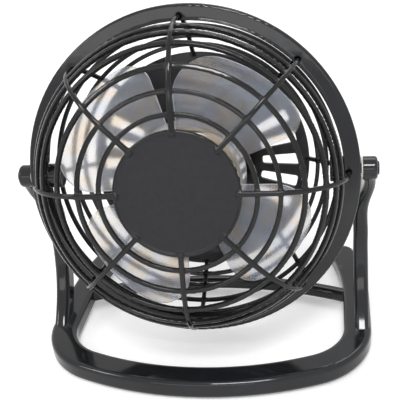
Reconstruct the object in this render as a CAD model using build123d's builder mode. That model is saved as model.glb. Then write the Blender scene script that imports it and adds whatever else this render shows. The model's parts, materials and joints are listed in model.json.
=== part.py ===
"""Small desk fan: a tilting guarded head with a four-blade impeller on a moulded stand.

Frame: millimetres, +Z up, the front of the fan faces -Y, +X is to the right seen from the front.
The origin lies on the table under the middle of the stand. The head is modelled at its rest tilt.
"""
import os
from math import asin, atan, cos, degrees, radians, sin, sqrt

from build123d import *

os.makedirs("parts", exist_ok=True)

# Stand, seen from above: a bowed front bar, round corners, two legs and a bowed cross bar
bar_width = 12.2
bar_height = 8.5
bar_round = 2.2
foot_drop = 0.8
front_y = -49.6
bow_radius = 135.0
corner_radius = 28.0
leg_bend_radius = 130.0
leg_turn = 17.5
cross_width = 5.4
cross_height = 6.4
cross_mid_y = 27.0
cross_end_y = 12.8

# Rubber feet under the corners and the leg ends
foot_radius = 3.6
foot_recess = 0.6
foot_clearance = 0.1
foot_chamfer = 0.4
front_foot_x = 55.0

# Arms and their pivot bosses
pivot_y = -8.3
swing_clearance = 4.9
arm_thickness = 6.4
arm_inset = 1.0
arm_tuck = 3.2
arm_depth = 10.0
arm_round = 2.0
arm_foot_y = -14.5
arm_bow_y = 4.8
arm_top_thickness = 5.0
arm_boss_step = 0.25
arm_flare_start = 0.7
arm_flare_end = 0.9
arm_steps = 10
boss_radius = 4.9
boss_length = 5.9
boss_round = 1.4
pin_radius = 2.0
pin_cap_radius = 2.9
pin_cap_height = 0.7
pin_cap_round = 0.5
washer_radius = 4.6
washer_thickness = 0.5
running_clearance = 0.05
pivot_gap = 0.3

# Head: heights below are measured along the head's axis from the pivot axis, front positive
tilt = 12.0
ring_radius = 70.0
flange_front = 7.0
flange_thickness = 3.4
flange_width = 4.9
flange_round = 1.0
lip_width = 0.6
lip_height = 0.6
drum_wall = 1.8
drum_rear = 1.5
lug_radius = 5.3
lug_reach = 5.8
lug_clearance = 0.3
spoke_count = 8
socket_depth = 2.0
socket_clearance = 0.15

# Front grille: a flat centre disc, spokes on an elliptic dome and rings under the spokes
disc_radius = 25.2
disc_front = 37.0
disc_thickness = 2.6
disc_lip = 0.5
disc_lip_width = 1.1
spoke_width = 2.2
spoke_tip_width = 1.5
spoke_round = 0.4
dome_start_radius = 36.0
dome_front = 37.6
dome_end_height = 10.0
front_ring_size = 1.9
front_ring_shares = (0.145, 0.366, 0.597, 0.797, 0.892, 0.946)
front_ring_sink = 1.2

# Rear grille: a slotted plate at the bottom of a bowl of rings and spokes, its rim on the drum
plate_radius = 48.5
plate_front = -20.0
plate_thickness = 2.0
slot_inner = 28.0
slot_outer = 44.0
slot_angle = 6.6
slot_round = 1.0
slot_pitch = 13.5
slots_per_side = 5
bowl_bulge = 1.5
bowl_ring_size = 1.8
bowl_ring_shares = (0.245, 0.53, 0.735)
bowl_spoke_width = 1.8
rim_height = 2.4

# Motor seat: a tower on the plate that holds the motor forward, inside the impeller's hub
seat_front = -5.0
seat_thickness = 2.0
tower_wall = 1.8

# Motor housing behind the plate
housing_radius = 27.0
housing_wall = 1.6
housing_depth = 15.0
housing_round = 5.0
post_radius = 2.7
post_circle = 21.0
post_count = 3
boss_height = 4.0
counterbore_depth = 3.0
screw_radius = 1.0
screw_head_radius = 1.9
screw_head_height = 1.3
housing_clearance = 0.2

# Cord inlet in the housing's lower wall, left open
inlet_offset = 15.0
inlet_hole_radius = 3.2
inlet_bore_radius = 1.8
inlet_flange_radius = 4.6
inlet_flange_height = 1.4

# Slide switch in the housing's rear wall
switch_offset = 9.0
switch_length = 13.0
switch_width = 6.0
switch_depth = 5.0
switch_travel = 3.0
switch_clearance = 0.3
button_length = 4.0
button_width = 3.4
button_height = 2.4
button_round = 0.5
button_flange = 0.8

# Motor
can_radius = 12.2
can_wall = 0.8
can_length = 15.5
can_nose_radius = 3.0
can_nose_height = 1.8
bell_thickness = 1.8
bush_radius = 2.6
bush_length = 2.6
shaft_radius = 1.0
magnet_thickness = 1.9
magnet_length = 8.0
magnet_angle = 130.0
air_gap = 0.4
end_gap = 0.5
rotor_length = 6.4
pole_count = 3
pole_core_radius = 3.4
pole_web = 3.2
pole_shoe_inner = 7.6
pole_shoe_angle = 100.0
coil_inner = 4.4
coil_outer = 6.5
coil_half_width = 3.5
coil_overhang = 1.2
commutator_radius = 2.3
commutator_length = 1.3
brush_width = 1.4
brush_length = 3.6
terminal_width = 2.2
terminal_thickness = 0.5
terminal_length = 4.5
motor_screw_circle = 7.5

# Impeller
blade_gap = 10.7
blade_count = 4
blade_span = 72.0
blade_first = 55.3
blade_thickness = 1.3
blade_root_pitch = 32.0
blade_tip_pitch = 16.0
blade_camber = 5.0
blade_reach = 10.0
blade_front_round = 14.0
blade_rear_round = 9.0
blade_mid = 11.0
hub_radius = 23.5
hub_rear = 3.0
hub_front = 21.0
hub_wall = 1.5
hub_round = 3.0
hub_boss_radius = 3.6

# Places that follow from the sizes above
drum_radius = ring_radius - flange_width
drum_inner = drum_radius - drum_wall
dome_end_radius = drum_radius
blade_radius = drum_inner - blade_gap
lug_inner_x = drum_inner - lug_reach
lug_outer_x = ring_radius
boss_inner_x = lug_outer_x + pivot_gap + washer_thickness
boss_outer_x = boss_inner_x + boss_length
arm_x = ring_radius - arm_tuck + arm_thickness / 2
arm_top_x = boss_inner_x + arm_boss_step + arm_top_thickness / 2
side_x = arm_x + arm_thickness / 2 + arm_inset - bar_width / 2
pivot_height = foot_drop + bar_height + swing_clearance + ring_radius
head = Plane(
    origin=(0, pivot_y, pivot_height),
    x_dir=(1, 0, 0),
    z_dir=(0, -cos(radians(tilt)), sin(radians(tilt))),
)
bar_mid = foot_drop + bar_height / 2
bow_center_y = front_y + bow_radius
corner_center_x = side_x - corner_radius
corner_center_y = bow_center_y - sqrt((bow_radius - corner_radius) ** 2 - corner_center_x**2)
bow_end_angle = asin(corner_center_x / (bow_radius - corner_radius))
bow_end = (bow_radius * sin(bow_end_angle), bow_center_y - bow_radius * cos(bow_end_angle))
leg_end_x = side_x - leg_bend_radius * (1 - cos(radians(leg_turn)))
leg_end_y = -front_y
leg_bend_y = leg_end_y - leg_bend_radius * sin(radians(leg_turn))
flange_rear = flange_front - flange_thickness
plate_rear = plate_front - plate_thickness
plate_mid = plate_front - plate_thickness / 2
seat_rear = seat_front - seat_thickness
tower_inner = can_radius + housing_clearance
rim_middle = drum_radius - drum_wall / 2
bowl_start = drum_rear - rim_height / 2
housing_rear = plate_rear - housing_depth
housing_floor = housing_rear + housing_wall
can_rear = seat_rear - can_length
rotor_front = seat_rear - can_wall - coil_overhang - 2 * end_gap
rotor_radius = can_radius - can_wall - magnet_thickness - air_gap
commutator_front = rotor_front - rotor_length - coil_overhang - end_gap
head_axis = Axis(head.origin, head.z_dir)
spoke_front = dome_front - spoke_width / 2
spoke_foot = flange_front - socket_depth + socket_clearance
shaft_front = hub_front - 2 * hub_wall


def dome_height(radius):
    """Height of the spokes' middle line at a distance from the head's axis."""
    if radius <= dome_start_radius:
        return spoke_front
    reach = (radius - dome_start_radius) / (dome_end_radius - dome_start_radius)
    return dome_end_height + (spoke_front - dome_end_height) * sqrt(1 - reach**2)


def dome_slope(radius):
    """Angle at which the spokes fall away from the front at a distance from the head's axis."""
    if radius <= dome_start_radius:
        return 0
    span = dome_end_radius - dome_start_radius
    reach = (radius - dome_start_radius) / span
    return atan((spoke_front - dome_end_height) * reach / span / sqrt(1 - reach**2))


def around_axis(angle):
    """Plane holding the head's axis, its x pointing outward at an angle round the axis."""
    return Plane(head.location * Rotation(0, 0, angle) * Rotation(90, 0, 0))


def turned_head(angle):
    """The head's own plane turned about its axis."""
    return Plane(head.location * Rotation(0, 0, angle))


def bar_path(sign):
    """One half of the stand's bar, from the middle of the front to the end of a leg."""
    mid_angle = bow_end_angle / 2
    bow_mid = (sign * bow_radius * sin(mid_angle), bow_center_y - bow_radius * cos(mid_angle))
    turn = (radians(90) + bow_end_angle) / 2
    corner_mid = (
        sign * (corner_center_x + corner_radius * sin(turn)),
        corner_center_y - corner_radius * cos(turn),
    )
    half_turn = radians(leg_turn / 2)
    leg_mid = (
        sign * (side_x - leg_bend_radius * (1 - cos(half_turn))),
        leg_bend_y + leg_bend_radius * sin(half_turn),
    )
    return (
        ((0, front_y), bow_mid, (sign * bow_end[0], bow_end[1])),
        ((sign * bow_end[0], bow_end[1]), corner_mid, (sign * side_x, corner_center_y)),
        ((sign * side_x, leg_bend_y), leg_mid, (sign * leg_end_x, leg_end_y)),
    )


def feet_places():
    """Centres of the four feet: on the front bow's ends and on the leg ends."""
    foot_angle = asin(front_foot_x / bow_radius)
    front = bow_center_y - bow_radius * cos(foot_angle)
    return [
        (-front_foot_x, front, 0),
        (front_foot_x, front, 0),
        (-leg_end_x, leg_end_y, 0),
        (leg_end_x, leg_end_y, 0),
    ]


# Stand frame: one moulding with the bar, the cross bar, the arms and the pivot bosses
with BuildPart() as stand_frame:
    for sign in (-1, 1):
        bow, corner, bend = bar_path(sign)
        with BuildLine(Plane.XY.offset(bar_mid)) as half_bar:
            ThreePointArc(*bow)
            ThreePointArc(*corner)
            Line(corner[2], bend[0])
            ThreePointArc(*bend)
        with BuildSketch(Plane(origin=(0, front_y, bar_mid), x_dir=(0, 1, 0), z_dir=(sign, 0, 0))):
            RectangleRounded(bar_width, bar_height, bar_round)
        sweep(path=half_bar.wire())
        tip = half_bar.line @ 1
        ahead = half_bar.line % 1
        with BuildSketch(Plane(origin=tip, x_dir=ahead.cross(Vector(0, 0, 1)), z_dir=ahead)):
            RectangleRounded(bar_width, bar_height, bar_round)
            Rectangle(bar_width, bar_height, align=(Align.MAX, Align.CENTER), mode=Mode.SUBTRACT)
        revolve(axis=Axis(tip, (0, 0, 1)), revolution_arc=180)
    with BuildLine(Plane.XY.offset(bar_mid)) as cross_line:
        ThreePointArc((-side_x, cross_end_y), (0, cross_mid_y), (side_x, cross_end_y))
    with BuildSketch(Plane(cross_line.line @ 0, z_dir=cross_line.line % 0)):
        RectangleRounded(cross_width, cross_height, bar_round)
    sweep(path=cross_line.wire())
    arm_top = (pivot_y, pivot_height)
    with BuildLine(Plane.YZ) as arm_line:
        ThreePointArc((arm_foot_y, bar_mid), (arm_bow_y, (bar_mid + pivot_height) / 2), arm_top)
    for sign in (-1, 1):
        for step in range(arm_steps + 1):
            share = step / arm_steps
            flare = min(max((share - arm_flare_start) / (arm_flare_end - arm_flare_start), 0), 1)
            middle = arm_x + flare * (arm_top_x - arm_x)
            place = arm_line.line @ share
            section = Plane(
                origin=(sign * middle, place.Y, place.Z),
                x_dir=(1, 0, 0),
                z_dir=arm_line.line % share,
            )
            with BuildSketch(section):
                RectangleRounded(arm_thickness + flare * (arm_top_thickness - arm_thickness), arm_depth, arm_round)
        loft()
        boss_start = (sign * boss_inner_x, pivot_y, pivot_height)
        with BuildSketch(Plane(origin=boss_start, x_dir=(sign, 0, 0), z_dir=(0, -sign, 0))) as boss_profile:
            Rectangle(boss_length, boss_radius, align=Align.MIN)
            fillet(boss_profile.vertices().group_by(Axis.X)[-1].sort_by(Axis.Y)[-1], boss_round)
        revolve(axis=Axis(boss_start, (1, 0, 0)))
        with BuildSketch(Plane(origin=boss_start, z_dir=(sign, 0, 0))):
            Circle(pin_radius)
        extrude(amount=boss_length, mode=Mode.SUBTRACT)
    with BuildSketch(Plane.XY.offset(foot_drop)):
        with Locations(*feet_places()):
            Circle(foot_radius + foot_clearance)
    extrude(amount=foot_recess, mode=Mode.SUBTRACT)
stand_frame.part.label = "stand_frame"
export_step(stand_frame.part, "parts/stand_frame.step")

with BuildPart() as rubber_feet:
    with Locations(*feet_places()):
        Cylinder(foot_radius, foot_drop + foot_recess, align=(Align.CENTER, Align.CENTER, Align.MIN))
    chamfer(rubber_feet.edges().group_by(Axis.Z)[0], foot_chamfer)
rubber_feet.part.label = "rubber_feet"
export_step(rubber_feet.part, "parts/rubber_feet.step")

# Pivot pins, pressed into the bosses and running in the head's lugs
for side, sign in (("left", -1), ("right", 1)):
    pin_start = lug_inner_x + running_clearance
    with BuildPart() as pivot_pin:
        with BuildSketch(Plane(origin=(sign * pin_start, pivot_y, pivot_height), z_dir=(sign, 0, 0))):
            Circle(pin_radius)
        extrude(amount=boss_outer_x - pin_start)
        with BuildSketch(Plane(origin=(sign * boss_outer_x, pivot_y, pivot_height), z_dir=(sign, 0, 0))):
            Circle(pin_cap_radius)
        extrude(amount=pin_cap_height)
        cap_face = pivot_pin.faces().filter_by(Axis.X).sort_by(Axis.X)[0 if sign < 0 else -1]
        fillet(cap_face.edges(), pin_cap_round)
    pivot_pin.part.label = f"pivot_pin_{side}"
    export_step(pivot_pin.part, f"parts/pivot_pin_{side}.step")

with BuildPart() as friction_washers:
    for sign in (-1, 1):
        with BuildSketch(Plane(origin=(sign * boss_inner_x, pivot_y, pivot_height), z_dir=(-sign, 0, 0))):
            Circle(washer_radius)
            Circle(pin_radius, mode=Mode.SUBTRACT)
        extrude(amount=washer_thickness)
friction_washers.part.label = "friction_washers"
export_step(friction_washers.part, "parts/friction_washers.step")

# Guard ring: flange, drum wall, pivot lugs and the sockets for the front spokes
with BuildPart() as guard_ring:
    with BuildSketch(around_axis(0)):
        with BuildLine():
            Polyline(
                (drum_inner, drum_rear),
                (drum_radius, drum_rear),
                (drum_radius, flange_rear),
                (ring_radius, flange_rear),
                (ring_radius, flange_front),
                (drum_inner + lip_width, flange_front),
                (drum_inner + lip_width, flange_front + lip_height),
                (drum_inner, flange_front + lip_height),
                close=True,
            )
        make_face()
    revolve(axis=head_axis)
    fillet(guard_ring.edges().filter_by(GeomType.CIRCLE).group_by(SortBy.RADIUS)[-1], flange_round)
    for sign in (-1, 1):
        with BuildSketch(Plane(origin=(sign * lug_inner_x, pivot_y, pivot_height), z_dir=(sign, 0, 0))):
            Circle(lug_radius)
        extrude(amount=lug_outer_x - lug_inner_x)
        with BuildSketch(Plane(origin=(sign * lug_inner_x, pivot_y, pivot_height), z_dir=(sign, 0, 0))):
            Circle(pin_radius + running_clearance)
        extrude(amount=lug_outer_x - lug_inner_x, mode=Mode.SUBTRACT)
    with BuildSketch(head.offset(flange_front)):
        with PolarLocations(dome_end_radius, spoke_count):
            Rectangle(spoke_tip_width + 2 * socket_clearance, spoke_tip_width + 2 * socket_clearance)
    extrude(amount=-socket_depth, mode=Mode.SUBTRACT)
guard_ring.part.label = "guard_ring"
export_step(guard_ring.part, "parts/guard_ring.step")

# Front grille: centre disc, guard rings and hooked spokes in one moulding
with BuildPart() as front_grille:
    with BuildSketch(around_axis(0)):
        with BuildLine():
            Polyline(
                (0, disc_front - disc_thickness),
                (disc_radius, disc_front - disc_thickness),
                (disc_radius, disc_front),
                (disc_radius - disc_lip_width, disc_front),
                (disc_radius - disc_lip_width - disc_lip, disc_front - disc_lip),
                (0, disc_front - disc_lip),
                close=True,
            )
        make_face()
    revolve(axis=head_axis)
    for share in front_ring_shares:
        radius = disc_radius + share * (dome_end_radius - disc_radius)
        slope = dome_slope(radius)
        drop = spoke_width / 2 + front_ring_size / 2 - front_ring_sink
        place = (radius - drop * sin(slope), dome_height(radius) - drop * cos(slope))
        with BuildSketch(around_axis(0)):
            with Locations(place):
                Rectangle(front_ring_size, front_ring_size, rotation=-degrees(slope))
        revolve(axis=head_axis)
    for number in range(spoke_count):
        plane = around_axis(90 + number * 360 / spoke_count)
        with BuildLine(plane) as spoke_line:
            Line((disc_radius - spoke_width, spoke_front), (dome_start_radius, spoke_front))
            EllipticalCenterArc(
                (dome_start_radius, dome_end_height),
                dome_end_radius - dome_start_radius,
                spoke_front - dome_end_height,
                start_angle=90,
                arc_size=-90,
            )
            Line((dome_end_radius, dome_end_height), (dome_end_radius, spoke_foot))
        start = plane.from_local_coords(Vector(disc_radius - spoke_width, spoke_front, 0))
        with BuildSketch(Plane(origin=start, x_dir=plane.z_dir, z_dir=plane.x_dir)):
            RectangleRounded(spoke_width, spoke_width, spoke_round)
        tip = plane.from_local_coords(Vector(dome_end_radius, spoke_foot, 0))
        with BuildSketch(Plane(origin=tip, x_dir=plane.z_dir, z_dir=-plane.y_dir)):
            RectangleRounded(spoke_tip_width, spoke_tip_width, spoke_round)
        sweep(path=spoke_line.wire(), multisection=True)
front_grille.part.label = "front_grille"
export_step(front_grille.part, "parts/front_grille.step")

# Rear grille: slotted plate, motor tower, screw bosses, bowl of rings and spokes, and the rim
bowl_ends = ((rim_middle, bowl_start), (plate_radius - bowl_ring_size, plate_mid))
bowl_curve = SagittaArc(*bowl_ends, bowl_bulge)
with BuildPart() as rear_grille:
    with BuildSketch(mode=Mode.PRIVATE) as slot:
        with BuildLine():
            slot_start = CenterArc((0, 0), slot_inner, -slot_angle / 2, slot_angle)
            slot_end = CenterArc((0, 0), slot_outer, -slot_angle / 2, slot_angle)
            Line(slot_start @ 0, slot_end @ 0)
            Line(slot_start @ 1, slot_end @ 1)
        make_face()
        fillet(slot.vertices(), slot_round)
    with BuildSketch(head.offset(plate_front)):
        Circle(plate_radius)
        Circle(tower_inner, mode=Mode.SUBTRACT)
        for side_angle in (0, 180):
            for number in range(slots_per_side):
                angle = side_angle + (number - (slots_per_side - 1) / 2) * slot_pitch
                add(slot.sketch, rotation=angle, mode=Mode.SUBTRACT)
    extrude(amount=-plate_thickness)
    with BuildSketch(head.offset(seat_front)):
        Circle(tower_inner + tower_wall)
        Circle(tower_inner, mode=Mode.SUBTRACT)
    extrude(amount=plate_rear - seat_front)
    with BuildSketch(head.offset(seat_front)):
        Circle(tower_inner)
        Circle(can_nose_radius + housing_clearance, mode=Mode.SUBTRACT)
        with GridLocations(2 * motor_screw_circle, 0, 2, 1):
            Circle(screw_radius + housing_clearance, mode=Mode.SUBTRACT)
    extrude(amount=-seat_thickness)
    for share in bowl_ring_shares:
        place = bowl_curve @ share
        with BuildSketch(around_axis(0)):
            with Locations((place.X, place.Y)):
                Rectangle(bowl_ring_size, bowl_ring_size)
        revolve(axis=head_axis)
    for number in range(spoke_count):
        plane = around_axis(number * 360 / spoke_count)
        with BuildLine(plane) as bowl_line:
            SagittaArc(*bowl_ends, bowl_bulge)
        with BuildSketch(Plane(bowl_line.line @ 0, x_dir=plane.z_dir, z_dir=bowl_line.line % 0)):
            Rectangle(bowl_spoke_width, bowl_spoke_width)
        sweep(path=bowl_line.wire())
    with BuildSketch(head.offset(drum_rear)):
        Circle(drum_radius)
        Circle(drum_inner, mode=Mode.SUBTRACT)
    extrude(amount=-rim_height)
    with BuildSketch(head.offset(plate_rear)):
        with PolarLocations(post_circle, post_count, start_angle=90):
            Circle(post_radius)
            Circle(screw_radius, mode=Mode.SUBTRACT)
    extrude(amount=-boss_height)
    for sign in (-1, 1):
        notch = (sign * (lug_inner_x - lug_clearance), pivot_y, pivot_height)
        with BuildSketch(Plane(origin=notch, z_dir=(sign, 0, 0))):
            Circle(lug_radius + lug_clearance)
        extrude(amount=ring_radius - lug_inner_x, mode=Mode.SUBTRACT)
rear_grille.part.label = "rear_grille"
export_step(rear_grille.part, "parts/rear_grille.step")

# Motor housing: a round cup screwed to the back of the plate
with BuildPart() as motor_housing:
    with BuildSketch(head.offset(plate_rear)):
        Circle(housing_radius)
    extrude(amount=-housing_depth)
    fillet(motor_housing.edges().sort_by(head_axis)[0], housing_round)
    with BuildSketch(head.offset(plate_rear)):
        Circle(housing_radius - housing_round)
    extrude(amount=-(housing_depth - housing_wall), mode=Mode.SUBTRACT)
    with BuildSketch(head.offset(plate_rear)):
        Circle(housing_radius - housing_wall)
    extrude(amount=-(housing_depth - housing_round), mode=Mode.SUBTRACT)
    with BuildSketch(head.offset(plate_rear - boss_height)):
        with PolarLocations(post_circle, post_count, start_angle=90):
            Circle(post_radius)
    extrude(amount=housing_floor - plate_rear + boss_height)
    with BuildSketch(head.offset(housing_rear)):
        with PolarLocations(post_circle, post_count, start_angle=90):
            Circle(screw_radius + housing_clearance)
    extrude(amount=housing_depth, mode=Mode.SUBTRACT)
    with BuildSketch(head.offset(housing_rear)):
        with PolarLocations(post_circle, post_count, start_angle=90):
            Circle(screw_head_radius + housing_clearance)
    extrude(amount=counterbore_depth, mode=Mode.SUBTRACT)
    with BuildSketch(head.offset(housing_rear)):
        with Locations((0, -inlet_offset)):
            Circle(inlet_hole_radius)
        with Locations((0, switch_offset)):
            Rectangle(button_length + switch_travel + 2 * switch_clearance, button_width + 2 * switch_clearance)
    extrude(amount=housing_wall, mode=Mode.SUBTRACT)
motor_housing.part.label = "motor_housing"
export_step(motor_housing.part, "parts/motor_housing.step")

with BuildPart() as housing_screws:
    with BuildSketch(head.offset(housing_rear + counterbore_depth)):
        with PolarLocations(post_circle, post_count, start_angle=90):
            Circle(screw_head_radius)
    extrude(amount=-screw_head_height)
    with BuildSketch(head.offset(housing_rear + counterbore_depth)):
        with PolarLocations(post_circle, post_count, start_angle=90):
            Circle(screw_radius)
    extrude(amount=plate_rear - housing_rear - counterbore_depth)
housing_screws.part.label = "housing_screws"
export_step(housing_screws.part, "parts/housing_screws.step")

with BuildPart() as cord_inlet:
    with BuildSketch(head.offset(housing_rear)):
        with Locations((0, -inlet_offset)):
            Circle(inlet_flange_radius)
    extrude(amount=-inlet_flange_height)
    fillet(cord_inlet.edges().sort_by(head_axis)[0], inlet_flange_height / 2)
    with BuildSketch(head.offset(housing_rear)):
        with Locations((0, -inlet_offset)):
            Circle(inlet_hole_radius)
    extrude(amount=housing_wall + inlet_flange_height)
    with BuildSketch(head.offset(housing_rear - inlet_flange_height)):
        with Locations((0, -inlet_offset)):
            Circle(inlet_bore_radius)
    extrude(amount=housing_wall + 2 * inlet_flange_height, mode=Mode.SUBTRACT)
cord_inlet.part.label = "cord_inlet"
export_step(cord_inlet.part, "parts/cord_inlet.step")

# Slide switch: a case behind the rear wall and the button that slides in its pocket
with BuildPart() as switch_case:
    with BuildSketch(head.offset(housing_floor)):
        with Locations((0, switch_offset)):
            Rectangle(switch_length, switch_width)
    extrude(amount=switch_depth)
    with BuildSketch(head.offset(housing_floor)):
        with Locations((0, switch_offset)):
            Rectangle(
                button_length + 2 * button_flange + switch_travel + 2 * switch_clearance,
                button_width + button_flange + 2 * switch_clearance,
            )
    extrude(amount=button_flange + 2 * switch_clearance, mode=Mode.SUBTRACT)
switch_case.part.label = "switch_case"
export_step(switch_case.part, "parts/switch_case.step")

with BuildPart() as switch_button:
    with BuildSketch(head.offset(housing_floor + switch_clearance)):
        with Locations((-switch_travel / 2, switch_offset)):
            Rectangle(button_length + 2 * button_flange, button_width + button_flange)
    extrude(amount=button_flange)
    with BuildSketch(head.offset(housing_floor + switch_clearance)):
        with Locations((-switch_travel / 2, switch_offset)):
            Rectangle(button_length, button_width)
    extrude(amount=-(switch_clearance + housing_wall + button_height))
    fillet(switch_button.faces().sort_by(head_axis)[0].edges(), button_round)
switch_button.part.label = "switch_button"
export_step(switch_button.part, "parts/switch_button.step")

# Motor: can with its bearing nose, magnets, end bell, brushes and terminals
with BuildPart() as motor_can:
    with BuildSketch(head.offset(seat_rear)):
        Circle(can_radius)
    extrude(amount=-can_length)
    with BuildSketch(head.offset(seat_rear)):
        Circle(can_nose_radius)
    extrude(amount=can_nose_height)
    with BuildSketch(head.offset(seat_rear - can_wall)):
        Circle(can_radius - can_wall)
    extrude(amount=-can_length, mode=Mode.SUBTRACT)
    with BuildSketch(head.offset(seat_rear + can_nose_height)):
        Circle(bush_radius)
        with GridLocations(2 * motor_screw_circle, 0, 2, 1):
            Circle(screw_radius)
    extrude(amount=-(can_nose_height + can_wall), mode=Mode.SUBTRACT)
motor_can.part.label = "motor_can"
export_step(motor_can.part, "parts/motor_can.step")

with BuildPart() as motor_magnets:
    with BuildSketch(head.offset(rotor_front + (magnet_length - rotor_length) / 2)):
        Circle(can_radius - can_wall)
        Circle(can_radius - can_wall - magnet_thickness, mode=Mode.SUBTRACT)
        for half_turn in (0, 180):
            with BuildLine(mode=Mode.PRIVATE) as gap_line:
                gap_angle = radians((180 - magnet_angle) / 2)
                reach = 2 * can_radius
                edge = (reach * cos(gap_angle), reach * sin(gap_angle))
                Polyline((0, 0), edge, (edge[0], -edge[1]), close=True)
            gap_face = make_face(gap_line.edges(), mode=Mode.PRIVATE)
            add(gap_face, rotation=half_turn, mode=Mode.SUBTRACT)
    extrude(amount=-magnet_length)
motor_magnets.part.label = "motor_magnets"
export_step(motor_magnets.part, "parts/motor_magnets.step")

with BuildPart() as motor_end_bell:
    with BuildSketch(head.offset(can_rear)):
        Circle(can_radius - can_wall)
    extrude(amount=bell_thickness)
    with BuildSketch(head.offset(can_rear)):
        Circle(bush_radius + can_wall)
    extrude(amount=-(bush_length - bell_thickness))
    with BuildSketch(head.offset(can_rear + bell_thickness)):
        Circle(bush_radius)
    extrude(amount=-bush_length, mode=Mode.SUBTRACT)
motor_end_bell.part.label = "motor_end_bell"
export_step(motor_end_bell.part, "parts/motor_end_bell.step")

# Sintered bushes for the shaft: in the can's nose and in the end bell
for bush_name, bush_front in (
    ("front_bush", seat_rear + can_nose_height),
    ("rear_bush", can_rear + bell_thickness),
):
    with BuildPart() as bush:
        with BuildSketch(head.offset(bush_front)):
            Circle(bush_radius)
            Circle(shaft_radius + running_clearance, mode=Mode.SUBTRACT)
        extrude(amount=-bush_length)
    bush.part.label = bush_name
    export_step(bush.part, f"parts/{bush_name}.step")

with BuildPart() as brushes:
    with BuildSketch(head.offset(can_rear + bell_thickness)):
        with GridLocations(2 * (commutator_radius + running_clearance) + brush_length, 0, 2, 1):
            Rectangle(brush_length, brush_width)
    extrude(amount=commutator_front - can_rear - bell_thickness)
brushes.part.label = "brushes"
export_step(brushes.part, "parts/brushes.step")

with BuildPart() as motor_terminals:
    with BuildSketch(head.offset(can_rear)):
        with GridLocations(2 * (can_radius - 2 * can_wall - brush_length), 0, 2, 1):
            Rectangle(terminal_thickness, terminal_width)
    extrude(amount=-terminal_length)
motor_terminals.part.label = "motor_terminals"
export_step(motor_terminals.part, "parts/motor_terminals.step")

with BuildPart() as motor_screws:
    with BuildSketch(head.offset(seat_front)):
        with GridLocations(2 * motor_screw_circle, 0, 2, 1):
            Circle(screw_head_radius)
    extrude(amount=screw_head_height)
    with BuildSketch(head.offset(seat_front)):
        with GridLocations(2 * motor_screw_circle, 0, 2, 1):
            Circle(screw_radius)
    extrude(amount=-(seat_thickness + can_wall))
motor_screws.part.label = "motor_screws"
export_step(motor_screws.part, "parts/motor_screws.step")

# Rotor: shaft, three-pole core, coils and commutator
with BuildPart() as motor_shaft:
    with BuildSketch(head.offset(can_rear + bell_thickness - bush_length)):
        Circle(shaft_radius)
    extrude(amount=shaft_front - (can_rear + bell_thickness - bush_length))
motor_shaft.part.label = "motor_shaft"
export_step(motor_shaft.part, "parts/motor_shaft.step")

with BuildPart() as rotor_core:
    with BuildSketch(head.offset(rotor_front)):
        Circle(pole_core_radius)
        for number in range(pole_count):
            with BuildLine(mode=Mode.PRIVATE) as shoe_line:
                half_shoe = radians(pole_shoe_angle / 2)
                reach = 2 * rotor_radius
                edge = (reach * cos(half_shoe), reach * sin(half_shoe))
                Polyline((0, 0), edge, (edge[0], -edge[1]), close=True)
            with BuildSketch(mode=Mode.PRIVATE) as shoe:
                Circle(rotor_radius)
                Circle(pole_shoe_inner, mode=Mode.SUBTRACT)
                make_face(shoe_line.edges(), mode=Mode.INTERSECT)
                Rectangle(pole_shoe_inner + can_wall / 2, pole_web, align=(Align.MIN, Align.CENTER))
            add(shoe.sketch, rotation=number * 360 / pole_count)
        Circle(shaft_radius, mode=Mode.SUBTRACT)
    extrude(amount=-rotor_length)
rotor_core.part.label = "rotor_core"
export_step(rotor_core.part, "parts/rotor_core.step")

with BuildPart() as windings:
    with BuildSketch(head.offset(rotor_front + coil_overhang)):
        with PolarLocations((coil_inner + coil_outer) / 2, pole_count):
            Rectangle(coil_outer - coil_inner, 2 * coil_half_width)
    extrude(amount=-(rotor_length + 2 * coil_overhang))
    with BuildSketch(head.offset(rotor_front)):
        with PolarLocations((coil_inner + coil_outer) / 2, pole_count):
            Rectangle(2 * coil_outer, pole_web)
    extrude(amount=-rotor_length, mode=Mode.SUBTRACT)
windings.part.label = "windings"
export_step(windings.part, "parts/windings.step")

with BuildPart() as commutator:
    with BuildSketch(head.offset(commutator_front)):
        Circle(commutator_radius)
        Circle(shaft_radius, mode=Mode.SUBTRACT)
    extrude(amount=-commutator_length)
commutator.part.label = "commutator"
export_step(commutator.part, "parts/commutator.step")

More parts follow.
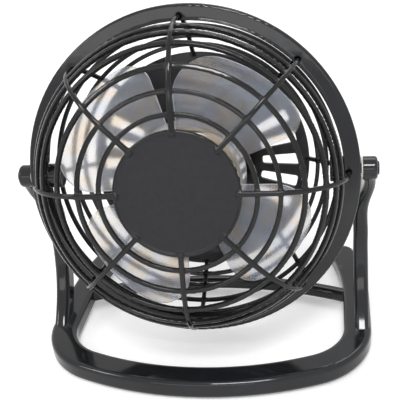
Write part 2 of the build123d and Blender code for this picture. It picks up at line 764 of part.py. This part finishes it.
# Impeller: a cup hub with its boss on the shaft, and four twisted paddle blades
with BuildPart() as impeller:
    with BuildSketch(around_axis(0)) as hub_profile:
        with BuildLine():
            Polyline(
                (shaft_radius, shaft_front),
                (0, shaft_front),
                (0, hub_front),
                (hub_radius, hub_front),
                (hub_radius, hub_rear),
                (hub_radius - hub_wall, hub_rear),
                (hub_radius - hub_wall, hub_front - hub_wall),
                (hub_boss_radius, hub_front - hub_wall),
                (hub_boss_radius, hub_rear),
                (shaft_radius, hub_rear),
                close=True,
            )
        make_face()
        fillet(hub_profile.vertices().group_by(Axis.Y)[-1].sort_by(Axis.X)[-1], hub_round)
    revolve(axis=head_axis)
    for number in range(blade_count):
        turned = turned_head(blade_first + number * 360 / blade_count)
        for radius, pitch in ((hub_radius / 2, blade_root_pitch), (blade_radius, blade_tip_pitch)):
            origin = turned.from_local_coords(Vector(radius, 0, blade_mid))
            across = turned.y_dir * cos(radians(pitch)) + turned.z_dir * sin(radians(pitch))
            with BuildSketch(Plane(origin=origin, x_dir=across, z_dir=turned.x_dir)):
                with BuildLine():
                    ThreePointArc((-blade_radius, 0), (0, blade_camber), (blade_radius, 0))
                    Line((blade_radius, 0), (blade_radius, blade_thickness))
                    ThreePointArc(
                        (blade_radius, blade_thickness),
                        (0, blade_camber + blade_thickness),
                        (-blade_radius, blade_thickness),
                    )
                    Line((-blade_radius, blade_thickness), (-blade_radius, 0))
                make_face()
        sheet = loft(mode=Mode.PRIVATE)
        with BuildSketch(turned.offset(hub_rear - blade_reach)) as planform:
            with BuildLine():
                root = CenterArc((0, 0), hub_radius - hub_wall / 2, -blade_span / 2, blade_span)
                outer = CenterArc((0, 0), blade_radius, -blade_span / 2, blade_span)
                Line(root @ 0, outer @ 0)
                Line(root @ 1, outer @ 1)
            make_face()
            fillet(planform.vertices().group_by(SortBy.DISTANCE)[-1].sort_by(Axis.Y)[-1], blade_front_round)
            fillet(planform.vertices().group_by(SortBy.DISTANCE)[-1].sort_by(Axis.Y)[0], blade_rear_round)
        column = extrude(amount=hub_front - hub_rear + 2 * blade_reach, mode=Mode.PRIVATE)
        add(sheet & column)
impeller.part.label = "impeller"
export_step(impeller.part, "parts/impeller.step")
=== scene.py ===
"""Looks of the small desk fan: materials, rounded edges, light and camera around the CAD model."""
import json
from math import radians

import bpy
from mathutils import Euler, Matrix, Vector


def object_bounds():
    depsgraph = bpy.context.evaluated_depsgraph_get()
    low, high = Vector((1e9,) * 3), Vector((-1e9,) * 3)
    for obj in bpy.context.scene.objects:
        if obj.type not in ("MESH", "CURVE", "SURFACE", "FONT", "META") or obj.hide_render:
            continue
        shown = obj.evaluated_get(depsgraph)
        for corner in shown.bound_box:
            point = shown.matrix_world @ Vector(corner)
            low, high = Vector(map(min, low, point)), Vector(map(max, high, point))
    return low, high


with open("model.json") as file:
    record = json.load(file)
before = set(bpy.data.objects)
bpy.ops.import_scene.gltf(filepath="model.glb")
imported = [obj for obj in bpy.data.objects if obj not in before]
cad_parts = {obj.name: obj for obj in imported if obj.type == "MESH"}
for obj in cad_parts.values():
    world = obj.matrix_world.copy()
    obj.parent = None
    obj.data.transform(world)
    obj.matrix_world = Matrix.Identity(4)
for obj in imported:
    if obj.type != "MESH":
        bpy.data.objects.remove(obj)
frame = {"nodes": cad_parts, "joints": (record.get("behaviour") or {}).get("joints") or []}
cad_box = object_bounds()
nodes = frame["nodes"]
joints = {joint["name"]: joint for joint in frame["joints"]}
scene = bpy.context.scene

# The head's pivot in metres, and the direction of its axis at rest
pivot = Vector(joints["head_tilt"]["pos_m"])
head_axis = Vector(joints["impeller_spin"]["axis"]).normalized()

# Distances from the head's axis over which a material changes, in metres
disc_fade_start, disc_fade_end = 0.0236, 0.0242
hub_fade_start, hub_fade_end = 0.0228, 0.0242

# Rounded edges, in metres and degrees
weld_distance = 0.000002
bevel_width = 0.0003
bevel_angle = 32
remesh_voxel = 0.00035
smooth_factor = 0.5
smooth_rounds = 3

# Floor, in metres, with a glow that grows from a near to a far distance
floor_width = 8.0
near_distance, far_distance = 0.25, 1.1
near_glow, far_glow = 0.32, 0.66

# Backdrop: light for every ray, and what camera, mirror and glass rays see on top of it
backdrop_light = 0.42
backdrop_white = 0.58

# The point that the lamps face, in metres
lamp_target = Vector((0.0, 0.0, 0.075))

# Camera fitted to the photo: two lengths in pixels, and the sensor in millimetres
photo_width = 400.0
focal_length = 797.6
sensor_width = 36.0

# Its place from the pivot in metres, and its turns about X, Y and Z in degrees
camera_offset = Vector((0.06153, -0.29985, 0.14487))
camera_turn = (62.48, 5.531, 8.381)


# Material helpers

class Tree:
    """A material's node tree with short calls for the few nodes that are used here."""

    def __init__(self, name):
        self.material = bpy.data.materials.new(name)
        self.material.use_nodes = True
        self.node_tree = self.material.node_tree
        self.shader = self.node_tree.nodes["Principled BSDF"]
        self.place = self.add("ShaderNodeTexCoord").outputs["Object"]

    def add(self, kind, **settings):
        """A new node with the settings it is given."""
        node = self.node_tree.nodes.new(kind)
        for key, value in settings.items():
            setattr(node, key, value)
        return node

    def join(self, source, target):
        """Links two sockets."""
        self.node_tree.links.new(source, target)

    def feed(self, name, source):
        """Links a socket to one of the shader's own."""
        self.join(source, self.shader.inputs[name])

    def set(self, **values):
        """Sets constants on the shader's own sockets."""
        for key, value in values.items():
            self.shader.inputs[key.replace("_", " ")].default_value = value

    def noise(self, scale, detail, rough=0.5, stretch=None):
        """Noise in the object's own coordinates, which can be stretched."""
        node = self.add("ShaderNodeTexNoise")
        node.inputs["Scale"].default_value = scale
        node.inputs["Detail"].default_value = detail
        node.inputs["Roughness"].default_value = rough
        source = self.place
        if stretch:
            mapping = self.add("ShaderNodeMapping")
            mapping.inputs["Scale"].default_value = stretch
            self.join(source, mapping.inputs["Vector"])
            source = mapping.outputs["Vector"]
        self.join(source, node.inputs["Vector"])
        return node.outputs["Fac"]

    def spread(self, value, low=0.0, high=1.0, start=0.3, end=0.7):
        """Maps a value's stretch from start to end onto low to high."""
        node = self.add("ShaderNodeMapRange")
        node.inputs["From Min"].default_value = start
        node.inputs["From Max"].default_value = end
        node.inputs["To Min"].default_value = low
        node.inputs["To Max"].default_value = high
        self.join(value, node.inputs["Value"])
        return node.outputs["Result"]

    def math(self, operation, first, second=None):
        """A calculation with sockets or plain numbers."""
        node = self.add("ShaderNodeMath", operation=operation)
        for socket, value in zip(node.inputs, (first, second)):
            if value is None:
                continue
            if isinstance(value, (int, float)):
                socket.default_value = value
            else:
                self.join(value, socket)
        return node.outputs["Value"]

    def blend(self, factor, first, second):
        """A mix of two colours, each a plain colour or a socket."""
        node = self.add("ShaderNodeMix", data_type="RGBA")
        self.join(factor, node.inputs["Factor"])
        for socket, value in ((node.inputs["A"], first), (node.inputs["B"], second)):
            if isinstance(value, tuple):
                socket.default_value = value + (1.0,)
            else:
                self.join(value, socket)
        return node.outputs["Result"]

    def bump(self, height, strength, distance, under=None):
        """Normals of an uneven surface, on top of other normals where they are given."""
        node = self.add("ShaderNodeBump")
        node.inputs["Strength"].default_value = strength
        node.inputs["Distance"].default_value = distance
        self.join(height, node.inputs["Height"])
        if under:
            self.join(under, node.inputs["Normal"])
        return node.outputs["Normal"]

    def rounded(self, radius):
        """Normals that round sharp edges off to a radius."""
        node = self.add("ShaderNodeBevel", samples=6)
        node.inputs["Radius"].default_value = radius
        return node.outputs["Normal"]

    def along_axis(self, vector):
        """A vector's part along the head's axis."""
        node = self.add("ShaderNodeVectorMath", operation="DOT_PRODUCT")
        node.inputs[1].default_value = head_axis
        self.join(vector, node.inputs[0])
        return node.outputs["Value"]

    def length(self, vector):
        """A vector's length."""
        node = self.add("ShaderNodeVectorMath", operation="LENGTH")
        self.join(vector, node.inputs[0])
        return node.outputs["Value"]

    def axis_distance(self):
        """A point's distance from the head's axis."""
        node = self.add("ShaderNodeVectorMath", operation="SUBTRACT")
        node.inputs[1].default_value = pivot
        self.join(self.place, node.inputs[0])
        from_pivot = node.outputs["Vector"]
        whole_square = self.math("POWER", self.length(from_pivot), 2.0)
        along_square = self.math("POWER", self.along_axis(from_pivot), 2.0)
        return self.math("SQRT", self.math("SUBTRACT", whole_square, along_square))


# Materials, with roughness as its lowest and highest value and lengths in metres

def gloss_black(name, roughness=(0.05, 0.13), edge=0.0005):
    """Glossy moulded plastic: faint flow marks, orange peel, rubbed patches and rounded edges."""
    tree = Tree(name)
    dark = (0.009, 0.0095, 0.011)
    light = tuple(channel * 1.7 for channel in dark)
    flow = tree.spread(tree.noise(45.0, detail=4.0))
    tree.feed("Base Color", tree.blend(flow, dark, light))
    rub = tree.noise(160.0, detail=6.0, rough=0.65)
    tree.feed("Roughness", tree.spread(rub, *roughness))
    peel = tree.noise(900.0, detail=2.0)
    peel = tree.bump(peel, strength=0.05, distance=0.0001, under=tree.rounded(edge))
    waves = tree.noise(70.0, detail=2.0)
    tree.feed("Normal", tree.bump(waves, strength=0.06, distance=0.0004, under=peel))
    tree.set(IOR=1.42)
    return tree.material


def front_black():
    """The front grille's plastic: glossy spokes and rings, and a satin centre disc."""
    tree = Tree("front_grille_plastic")
    edge = 0.0008
    disc_roughness = 0.42
    disc = tree.spread(tree.axis_distance(), 1.0, 0.0, disc_fade_start, disc_fade_end)
    flow = tree.spread(tree.noise(45.0, detail=4.0))
    gloss = tree.blend(flow, (0.006, 0.006, 0.0065), (0.012, 0.0118, 0.0118))
    grain = tree.spread(tree.noise(420.0, detail=5.0, rough=0.7))
    matt = tree.blend(grain, (0.0085, 0.0083, 0.0115), (0.014, 0.0136, 0.017))
    tree.feed("Base Color", tree.blend(disc, gloss, matt))
    rub = tree.spread(tree.noise(160.0, detail=6.0), 0.05, 0.13)
    dulled = tree.math("MULTIPLY", disc, disc_roughness)
    tree.feed("Roughness", tree.math("ADD", rub, dulled))
    waves = tree.noise(90.0, detail=2.0)
    waves = tree.bump(waves, strength=0.05, distance=0.0003, under=tree.rounded(edge))
    sparks = tree.math("MULTIPLY", tree.noise(2600.0, detail=2.0), disc)
    tree.feed("Normal", tree.bump(sparks, strength=0.12, distance=0.00008, under=waves))
    tree.set(IOR=1.38)
    return tree.material


def smoke_plastic():
    """Frosted see-through blades with a cool haze, tan patches of painted light shining through,
    painted highlights along the bright edges, and a cream hub.
    """
    tree = Tree("impeller_plastic")
    cool_haze, warm_haze, tan = (0.84, 0.85, 0.89), (0.94, 0.91, 0.88), (0.96, 0.80, 0.60)
    # The light grey for the blades' rims is a painted highlight
    painted_edge_highlight, cream = (0.86, 0.87, 0.88), (0.66, 0.55, 0.38)
    hub = tree.spread(tree.axis_distance(), 1.0, 0.0, hub_fade_start, hub_fade_end)
    # Painted highlight: rim faces, which lie along the head's axis, get a light grey colour
    facing = tree.along_axis(tree.add("ShaderNodeNewGeometry").outputs["True Normal"])
    edge = tree.spread(tree.math("ABSOLUTE", facing), 1.0, 0.0, start=0.35, end=0.5)
    haze = tree.spread(tree.noise(40.0, detail=2.0), start=0.36, end=0.62)
    # Painted light: tan patches in the colour stand for light that shines through the blades
    painted_light_clouds = tree.noise(105.0, detail=2.0, stretch=(1.0, 1.6, 0.8))
    painted_light_clouds = tree.spread(painted_light_clouds, high=0.75, start=0.5, end=0.62)
    blade = tree.blend(painted_light_clouds, tree.blend(haze, cool_haze, warm_haze), tan)
    tree.feed("Base Color", tree.blend(hub, tree.blend(edge, blade, painted_edge_highlight), cream))
    tree.feed("Roughness", tree.spread(tree.noise(120.0, detail=4.0), 0.12, 0.17))
    tree.feed("Normal", tree.bump(tree.noise(40.0, detail=2.0), strength=0.05, distance=0.0005))
    # The cream hub and the rims with the painted highlight let less light through
    dull = tree.math("MAXIMUM", hub, edge)
    tree.feed("Transmission Weight", tree.spread(dull, 0.86, 0.3, start=0.0, end=1.0))
    tree.set(IOR=1.44, Specular_Tint=(0.72, 0.84, 1.0, 1.0))
    tree.set(Sheen_Weight=0.25, Sheen_Roughness=0.8, Sheen_Tint=(0.5, 0.65, 1.0, 1.0))
    return tree.material


def rubber(name):
    """Matt rubber with a fine grain."""
    tree = Tree(name)
    grain = tree.noise(1500.0, detail=4.0)
    dark, light = (0.012, 0.012, 0.012), (0.03, 0.03, 0.03)
    tree.feed("Base Color", tree.blend(tree.spread(grain), dark, light))
    tree.feed("Roughness", tree.spread(grain, 0.6, 0.85))
    tree.feed("Normal", tree.bump(grain, strength=0.3, distance=0.0002))
    return tree.material


def satin(name, dark):
    """Matt plastic with a fine grain and faint flow marks."""
    tree = Tree(name)
    light = tuple(channel * 1.35 for channel in dark)
    flow = tree.spread(tree.noise(60.0, detail=3.0))
    tree.feed("Base Color", tree.blend(flow, dark, light))
    grain = tree.noise(1800.0, detail=4.0)
    tree.feed("Roughness", tree.spread(grain, 0.35, 0.55))
    tree.feed("Normal", tree.bump(grain, strength=0.15, distance=0.0001))
    return tree.material


def metal(name, light, roughness=(0.2, 0.4)):
    """Metal with fine drawn lines."""
    tree = Tree(name)
    dark = tuple(channel * 0.8 for channel in light)
    lines = tree.noise(700.0, detail=3.0, stretch=(1.0, 1.0, 14.0))
    tree.feed("Base Color", tree.blend(tree.spread(lines), dark, light))
    tree.feed("Roughness", tree.spread(lines, *roughness))
    tree.feed("Normal", tree.bump(lines, strength=0.08, distance=0.00005))
    tree.set(Metallic=1.0)
    return tree.material


def dress(material, *names):
    """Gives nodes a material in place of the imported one."""
    for name in names:
        mesh = nodes[name].data
        mesh.materials.clear()
        mesh.materials.append(material)


dress(gloss_black("stand_plastic"), "stand_frame")
dress(gloss_black("guard_plastic"), "guard_ring")
dress(gloss_black("rear_plastic", roughness=(0.1, 0.2), edge=0.0007), "rear_grille")
dress(gloss_black("housing_plastic", roughness=(0.16, 0.3)), "motor_housing")
dress(gloss_black("pin_plastic", roughness=(0.1, 0.22)), "pivot_pin_left", "pivot_pin_right")
dress(front_black(), "front_grille")
dress(smoke_plastic(), "impeller")
dress(rubber("foot_rubber"), "rubber_feet", "cord_inlet")
dress(satin("button_plastic", (0.02, 0.02, 0.021)), "switch_button")
dress(satin("inner_plastic", (0.03, 0.03, 0.032)), "switch_case", "motor_end_bell", "brushes")
dress(satin("washer_nylon", (0.7, 0.68, 0.62)), "friction_washers")
dress(metal("screw_steel", (0.5, 0.5, 0.52)), "housing_screws", "motor_screws", "motor_shaft")
dress(metal("can_steel", (0.6, 0.6, 0.61)), "motor_can")
dress(metal("core_steel", (0.3, 0.3, 0.31), roughness=(0.35, 0.55)), "rotor_core", "motor_magnets")
dress(metal("bush_bronze", (0.52, 0.34, 0.15)), "front_bush", "rear_bush")
dress(metal("coil_copper", (0.7, 0.33, 0.16)), "windings", "commutator", "motor_terminals")


# Rounded edges

def soften(name, segments):
    """Rounds a node's sharp edges with a bevel."""
    piece = nodes[name]
    weld = piece.modifiers.new("weld", "WELD")
    weld.merge_threshold = weld_distance
    bevel = piece.modifiers.new("bevel", "BEVEL")
    bevel.width = bevel_width
    bevel.segments = segments
    bevel.limit_method = "ANGLE"
    bevel.angle_limit = radians(bevel_angle)
    bevel.harden_normals = True
    bevel.use_clamp_overlap = False


def round_off(name, share):
    """Rounds a node whose small faces leave no room for a bevel, and keeps a share of the faces."""
    piece = nodes[name]
    remesh = piece.modifiers.new("remesh", "REMESH")
    remesh.mode = "VOXEL"
    remesh.voxel_size = remesh_voxel
    remesh.use_smooth_shade = True
    smooth = piece.modifiers.new("smooth", "SMOOTH")
    smooth.factor = smooth_factor
    smooth.iterations = smooth_rounds
    thin = piece.modifiers.new("decimate", "DECIMATE")
    thin.ratio = share
    piece.modifiers.new("normals", "WEIGHTED_NORMAL")


round_off("front_grille", share=0.22)
round_off("guard_ring", share=0.2)
soften("rear_grille", segments=3)
soften("motor_housing", segments=2)


# Floor and backdrop

def seen_directly(node_tree):
    """One for camera, mirror and glass rays, and zero for the others."""
    path = node_tree.nodes.new("ShaderNodeLightPath")
    total = path.outputs["Is Camera Ray"]
    for name in ("Is Glossy Ray", "Is Transmission Ray"):
        node = node_tree.nodes.new("ShaderNodeMath")
        node.operation = "MAXIMUM"
        node_tree.links.new(total, node.inputs[0])
        node_tree.links.new(path.outputs[name], node.inputs[1])
        total = node.outputs["Value"]
    return total


def floor_paper():
    """Pale paper that glows for the rays that see it directly."""
    tree = Tree("floor_paper")
    tree.set(Base_Color=(0.86, 0.86, 0.86, 1.0), Roughness=0.9)
    reach = tree.length(tree.place)
    glow = tree.spread(reach, near_glow, far_glow, start=near_distance, end=far_distance)
    tree.set(Emission_Color=(1.0, 1.0, 1.0, 1.0))
    tree.feed("Emission Strength", tree.math("MULTIPLY", seen_directly(tree.node_tree), glow))
    return tree.material


bpy.ops.mesh.primitive_plane_add(size=floor_width, location=(0, 0, cad_box[0][2]))
floor = bpy.context.object
floor.name = "floor"
floor.data.materials.append(floor_paper())

world = bpy.data.worlds.new("studio")
scene.world = world
world.use_nodes = True
backdrop = world.node_tree.nodes["Background"]
backdrop.inputs["Color"].default_value = (1.0, 1.0, 1.0, 1.0)
strength = world.node_tree.nodes.new("ShaderNodeMath")
strength.operation = "MULTIPLY_ADD"
strength.inputs[1].default_value = backdrop_white
strength.inputs[2].default_value = backdrop_light
world.node_tree.links.new(seen_directly(world.node_tree), strength.inputs[0])
world.node_tree.links.new(strength.outputs["Value"], backdrop.inputs["Strength"])


# Lamps and camera

def softbox(name, place, size, power):
    """A rectangular lamp that faces the fan: place and size in metres, power in watts."""
    light = bpy.data.lights.new(name, "AREA")
    light.shape = "RECTANGLE"
    light.size, light.size_y = size
    light.energy = power
    lamp = bpy.data.objects.new(name, light)
    scene.collection.objects.link(lamp)
    lamp.location = place
    lamp.rotation_euler = (lamp_target - Vector(place)).to_track_quat("-Z", "Y").to_euler()


softbox("key", place=(0.10, -0.72, 1.02), size=(0.40, 0.20), power=7.5)
softbox("fill", place=(-0.75, -0.5, 0.70), size=(0.22, 0.30), power=2.2)
softbox("rim", place=(0.1, 0.6, 1.0), size=(1.0, 0.5), power=4.0)
softbox("front", place=(-0.15, -1.2, 0.40), size=(0.9, 0.24), power=1.45)

camera_data = bpy.data.cameras.new("camera")
camera_data.sensor_width = sensor_width
camera_data.lens = sensor_width * focal_length / photo_width
camera = bpy.data.objects.new("camera", camera_data)
scene.collection.objects.link(camera)
camera_angles = Euler([radians(angle) for angle in camera_turn])
camera.matrix_world = Matrix.LocRotScale(pivot + camera_offset, camera_angles, None)
scene.camera = camera

scene.view_settings.view_transform = "Standard"
